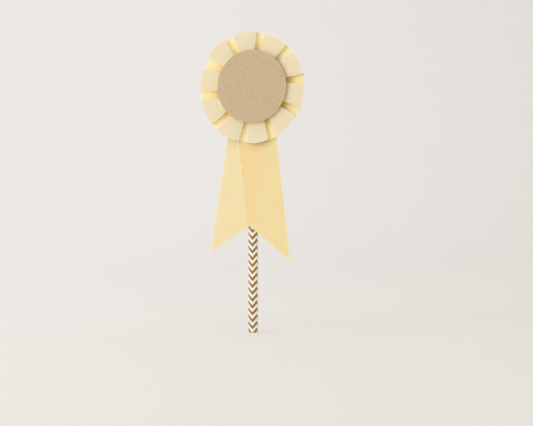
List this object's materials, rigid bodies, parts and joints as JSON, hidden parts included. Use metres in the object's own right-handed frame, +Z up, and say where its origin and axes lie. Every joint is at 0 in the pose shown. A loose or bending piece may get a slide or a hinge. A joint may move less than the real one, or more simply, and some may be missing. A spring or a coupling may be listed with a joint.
{
  "type": "rosette ribbon topper",
  "caption": "Paper award rosette with a pleated ring, glitter-card centre and slant-cut ribbon tails, on a paper straw that is pushed into a cake.",
  "frame": {"origin": "on the straw's axis, at its foot", "axes": "+Z up the straw, -Y out of the rosette's front, +X to the viewer's right when the front is looked at"},
  "size_m": [0.0709, 0.0127, 0.2192],
  "materials": {
    "yellow_card": "matte",
    "glitter_card": "satin",
    "backing_card": "matte",
    "straw_print": "satin",
    "straw_paper": "matte",
    "pad_foam": "matte",
    "hot_glue": "satin"
  },
  "bodies": {
    "rosette": {"straw_inner_ply": "straw_paper", "straw_middle_ply": "straw_paper", "straw_outer_ply": "straw_print", "straw_glue": "hot_glue", "tail_left_glued_end": "yellow_card", "tail_right_glued_end": "yellow_card", "base_disc": "backing_card", "pleated_ring": "yellow_card", "foam_pads": "pad_foam", "centre_disc": "glitter_card"},
    "tails": {"tail_left": "yellow_card", "tail_right": "yellow_card"}
  },
  "joints": [
    {"name": "tails_flex", "type": "hinge", "parent": "rosette", "child": "tails", "pos_m": [0.00135, -0.0042, 0.1469], "axis": [-1, 0, 0], "range_deg": [0, 25], "stiffness_Nm_per_rad": 0.01}
  ]
}
